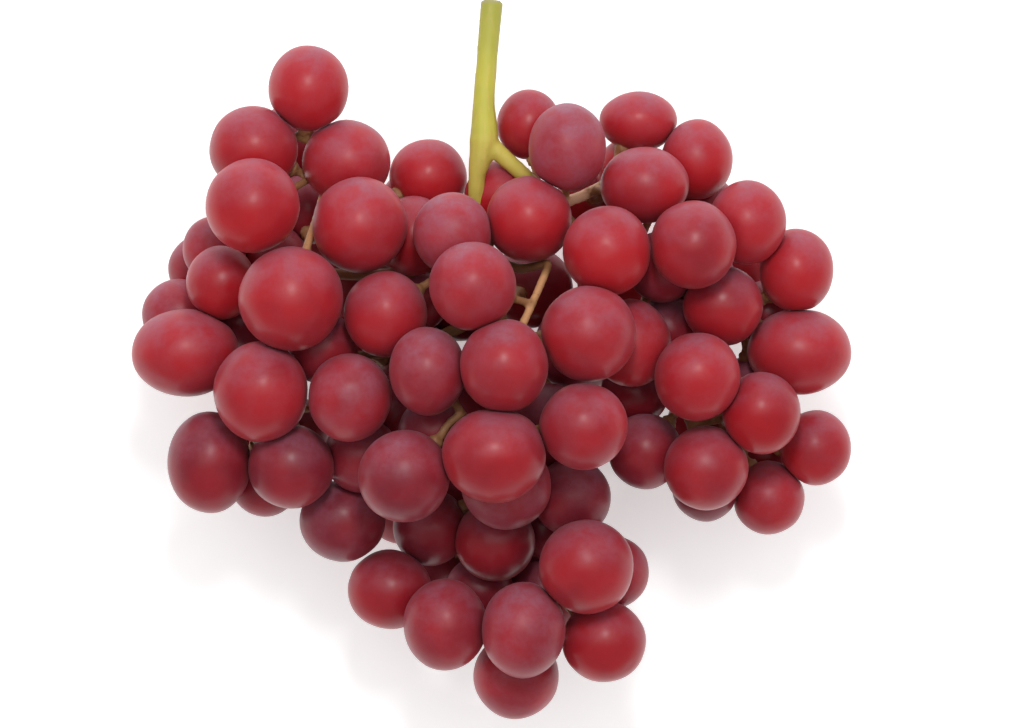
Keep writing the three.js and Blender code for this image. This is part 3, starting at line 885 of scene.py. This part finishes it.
stemForm = {
    "stalkRoot": 0.95,      # radii in millimetres
    "stalkMiddle": 0.95,
    "stalkNeck": 1.0,
    "collar": 1.95,
    "collarBack": 1.7,      # how far the collar starts before the grape's skin
    "collarShare": 0.35,    # the most of a stalk's length that it takes
    "collarFull": 0.45,     # share of that where it is nearly full width
    "collarMost": 0.93,
    "sink": 0.3,            # how far the collar sinks into the dimple
    "plug": 0.7,            # its narrower end further in
    "plugShare": 0.6,
    "bend": 1.0,            # how far a stalk bows out of straight
    # scale and shift of the noise for the bow in each direction
    "bendNoise": [(0.31, (0, 0, 0)), (0.37, (9, 0, 0)), (0.29, (0, 9, 0))],
    "roundSteps": 3,        # how finely the lines are rounded and bent
    "bendSteps": 6,
    "grain": 0.46,          # size of the stem's mesh
    "ridge": 0.08,          # height of the lengthwise ridges
    "ridgeScale": (1.1, 0.07, 1.1),
    "wart": 0.56,           # height of the bumps on a collar
    "wartScale": 1.5,
    "collarInside": 0.4,    # how far before the grape's skin a collar has its middle
    "collarReach": 2.6,     # and how far from there it is bumpy
    "smoothing": 3,         # rounds of smoothing, and how strong each is
    "smoothShare": 0.5,
    "oliveFrom": 80,        # from this pixel row up to the next the bare stem turns olive
    "oliveTo": 10,
    "cutRow": 2,            # pixel row of the cut end, and how far its edge reaches down
    "cutEdge": 0.5,
    "cutFade": 0.3,
    # how tan the stem is, how much painted shade and how much painted light it has: along the lit
    # branches up to a knot, on the lit stalks, on the other stalks, and on the branches inside
    # the bunch
    "litKnots": {0: [(4, (0, 0, 0)), (6, (0.15, 0, 0))],
                 # the upper right branch's stub gets painted light
                 2: [(4, (0.15, 0, 0)), (6, (1, 0, 1))]},
    "litStalk": (1, 0.4, 0),
    "stalk": (0.9, 0.8, 0),
    "inside": (0.6, 0.9, 0),
    "litFrom": 0.3,         # share of a lit stalk's length after which it is lit
    "toneStep": 0.8,        # how closely the stem's colours are set along its lines
    "toneCount": 4,         # how many of the nearest ones are mixed
}


def addSpline(curve, path):
    spline = curve.splines.new("BEZIER")
    spline.bezier_points.add(len(path) - 1)
    for knot, (place, radius) in zip(spline.bezier_points, path):
        knot.co = place * mm
        knot.radius = radius
        knot.handle_left_type = "AUTO"
        knot.handle_right_type = "AUTO"


# the skin of a grape on the side of its stalk's root
def stalkTarget(grape):
    start = Vector((grape.root.x, grape.root.y, grape.root.z))
    middle = Vector((grape.x, grape.y, grape.z))
    out = (middle - start).normalized()
    skin = 1 / math.sqrt((out.x / grape.halfX) ** 2 + (out.y / grape.halfY) ** 2
                         + (out.z / grape.halfZ) ** 2)
    return start, middle - out * skin, out


# places along a line, each with the stem's tone there
def addTones(tones, path, tone):
    for start, end in zip(path, path[1:]):
        count = math.ceil((end - start).length / stemForm["toneStep"])
        for part in range(count + 1):
            tones.append((start.lerp(end, part / count), Vector(tone)))


# the branches and stalks as round lines, grown together into one mesh
def makeStem():
    curve = bpy.data.curves.new("stemLines", "CURVE")
    curve.dimensions = "3D"
    curve.bevel_depth = mm
    curve.bevel_resolution = stemForm["roundSteps"]
    curve.resolution_u = stemForm["bendSteps"]
    curve.use_fill_caps = True
    tones = []
    placed = {index for index, _ in placedStalks}
    for number, (_, path) in enumerate(branches):
        knots = [(Vector((toX(column), toY(row), height)), radius)
                 for column, row, height, radius in path]
        addSpline(curve, knots)
        line = [place for place, _ in knots]
        stretches = stemForm["litKnots"].get(number, []) + [(len(line), stemForm["inside"])]
        first = 1
        for last, tone in stretches:
            addTones(tones, line[first - 1:last], tone)
            first = last
    collars = []
    for index, grape in enumerate(grapes):
        start, end, out = stalkTarget(grape)
        length = (end - start).length
        bow = Vector([noise.noise(end * scale + Vector(shift))
                      for scale, shift in stemForm["bendNoise"]]) * stemForm["bend"]
        bow -= out * bow.dot(out)
        middle = (start + end) / 2 + bow
        back = min(stemForm["collarBack"], length * stemForm["collarShare"])
        plugEnd = stemForm["sink"] + stemForm["plug"]
        addSpline(curve, [
            (start, stemForm["stalkRoot"]),
            (middle, stemForm["stalkMiddle"]),
            (end - out * back, stemForm["stalkNeck"]),
            (end - out * back * stemForm["collarFull"],
             stemForm["collar"] * stemForm["collarMost"]),
            (end + out * stemForm["sink"], stemForm["collar"]),
            (end + out * plugEnd, stemForm["collar"] * stemForm["plugShare"]),
        ])
        collars.append(end - out * stemForm["collarInside"])
        if index in placed:
            lit = start.lerp(end, stemForm["litFrom"])
            addTones(tones, [lit, end + out], stemForm["litStalk"])
        else:
            addTones(tones, [start, end + out], stemForm["stalk"])
    lines = bpy.data.objects.new("stemLines", curve)
    bpy.context.scene.collection.objects.link(lines)
    remesh = lines.modifiers.new("grain", "REMESH")
    remesh.mode = "VOXEL"
    remesh.voxel_size = stemForm["grain"] * mm
    remesh.use_smooth_shade = True
    smooth = lines.modifiers.new("smooth", "SMOOTH")
    smooth.factor = stemForm["smoothShare"]
    smooth.iterations = stemForm["smoothing"]
    bpy.context.view_layer.update()
    evaluated = lines.evaluated_get(bpy.context.evaluated_depsgraph_get())
    mesh = bpy.data.meshes.new_from_object(evaluated)
    bpy.data.objects.remove(lines)
    return mesh, collars, tones


def searchTree(places):
    tree = kdtree.KDTree(len(places))
    for index, place in enumerate(places):
        tree.insert(place, index)
    tree.balance()
    return tree


# gives the stem its ridges, the bumps on its collars, and its tones
def dressStem(mesh, collars, tones):
    acrossX, alongY, acrossZ = stemForm["ridgeScale"]
    collarTree = searchTree(collars)
    toneTree = searchTree([place for place, _ in tones])
    nearest = stemForm["toneCount"]
    shape = bmesh.new()
    shape.from_mesh(mesh)
    shape.normal_update()
    layers = {key: shape.verts.layers.float.new(key) for key in stemTints}
    top = toY(stemForm["cutRow"])
    oliveStart = toY(stemForm["oliveFrom"])
    oliveLength = toY(stemForm["oliveTo"]) - oliveStart
    for vert in shape.verts:
        place = vert.co / mm
        _, _, distance = collarTree.find(place)
        nearCollar = share(stemForm["collarReach"] - distance)
        tone = Vector()
        for _, index, _ in toneTree.find_n(place, nearest):
            tone += tones[index][1] / nearest
        cut = share((place.y - top + stemForm["cutEdge"]) / stemForm["cutFade"])
        ridge = noise.noise(Vector((place.x * acrossX, place.y * alongY, place.z * acrossZ)))
        wart = noise.noise(place * stemForm["wartScale"])
        push = ridge * stemForm["ridge"] * (1 - nearCollar) * (1 - cut)
        push += max(0, wart) * stemForm["wart"] * nearCollar
        vert.co += vert.normal * push * mm
        # tan, painted shade and painted light, from the nearest tones
        vert[layers["tan"]], vert[layers["paintedShade"]], vert[layers["paintedLight"]] = tone
        vert[layers["olive"]] = share((place.y - oliveStart) / oliveLength)
        vert[layers["cut"]] = cut
    shape.to_mesh(mesh)
    shape.free()


stemMesh, collarPlaces, stemTones = makeStem()
dressStem(stemMesh, collarPlaces, stemTones)
stemMesh.name = "stem_skin"
stemMesh.materials.clear()
finishPiece(stemMesh, "stem_skin", stemMaterial, ["stem"])
print("stem made:", len(stemMesh.polygons), "faces")

studio = {
    "floor": (0.93, 0.93, 0.93, 1),
    "floorRoughness": 0.9,
    "floorGlow": 0.42,      # keeps the shadow on the floor faint
    "floorSize": 12,
    "worldStrength": 0.5,
    "lookAt": (0.00355, -0.00078, 0.04),
    "distance": 2.6,
    "widthSeen": 0.2273,    # width of the picture at the bunch, in metres
    "sensor": 36,
    "clipEnd": 100,
    # soft lights: name, place, width, height and power
    "lights": [
        ("key", (0.03, 0.5, 1.25), 0.15, 0.28, 5.5),
        ("overhead", (0, 0.3, 1.4), 1.6, 0.9, 5.6),
        ("wall", (0, 1.15, 0.55), 2.0, 1.2, 4.2),
    ],
}


def addFloor():
    shape = bmesh.new()
    bmesh.ops.create_grid(shape, x_segments=1, y_segments=1, size=studio["floorSize"] / 2)
    mesh = bpy.data.meshes.new("floor")
    shape.to_mesh(mesh)
    shape.free()
    material, _, _, shader = newMaterial("paleFloor")
    shader.inputs["Base Color"].default_value = studio["floor"]
    shader.inputs["Roughness"].default_value = studio["floorRoughness"]
    shader.inputs["Emission Color"].default_value = (1, 1, 1, 1)
    shader.inputs["Emission Strength"].default_value = studio["floorGlow"]
    mesh.materials.append(material)
    floor = bpy.data.objects.new("floor", mesh)
    bpy.context.scene.collection.objects.link(floor)


def addSoftLight(name, place, width, height, power):
    light = bpy.data.lights.new(name, "AREA")
    light.shape = "RECTANGLE"
    light.size = width
    light.size_y = height
    light.energy = power
    lamp = bpy.data.objects.new(name, light)
    lamp.location = place
    aim = Vector(studio["lookAt"]) - Vector(place)
    lamp.rotation_euler = aim.to_track_quat("-Z", "Y").to_euler()
    lamp.visible_camera = False
    bpy.context.scene.collection.objects.link(lamp)


def addWorld():
    world = bpy.data.worlds.new("studio")
    world.use_nodes = True
    background = world.node_tree.nodes["Background"]
    background.inputs["Color"].default_value = (1, 1, 1, 1)
    background.inputs["Strength"].default_value = studio["worldStrength"]
    bpy.context.scene.world = world


def addCamera():
    lens = bpy.data.cameras.new("camera")
    lens.sensor_width = studio["sensor"]
    lens.lens = studio["sensor"] * studio["distance"] / studio["widthSeen"]
    lens.clip_end = studio["clipEnd"]
    camera = bpy.data.objects.new("camera", lens)
    camera.location = Vector(studio["lookAt"]) + Vector((0, 0, studio["distance"]))
    bpy.context.scene.collection.objects.link(camera)
    bpy.context.scene.camera = camera


addFloor()
addWorld()
for softLight in studio["lights"]:
    addSoftLight(*softLight)
addCamera()
bpy.context.scene.view_settings.view_transform = "Standard"
print("stage set")
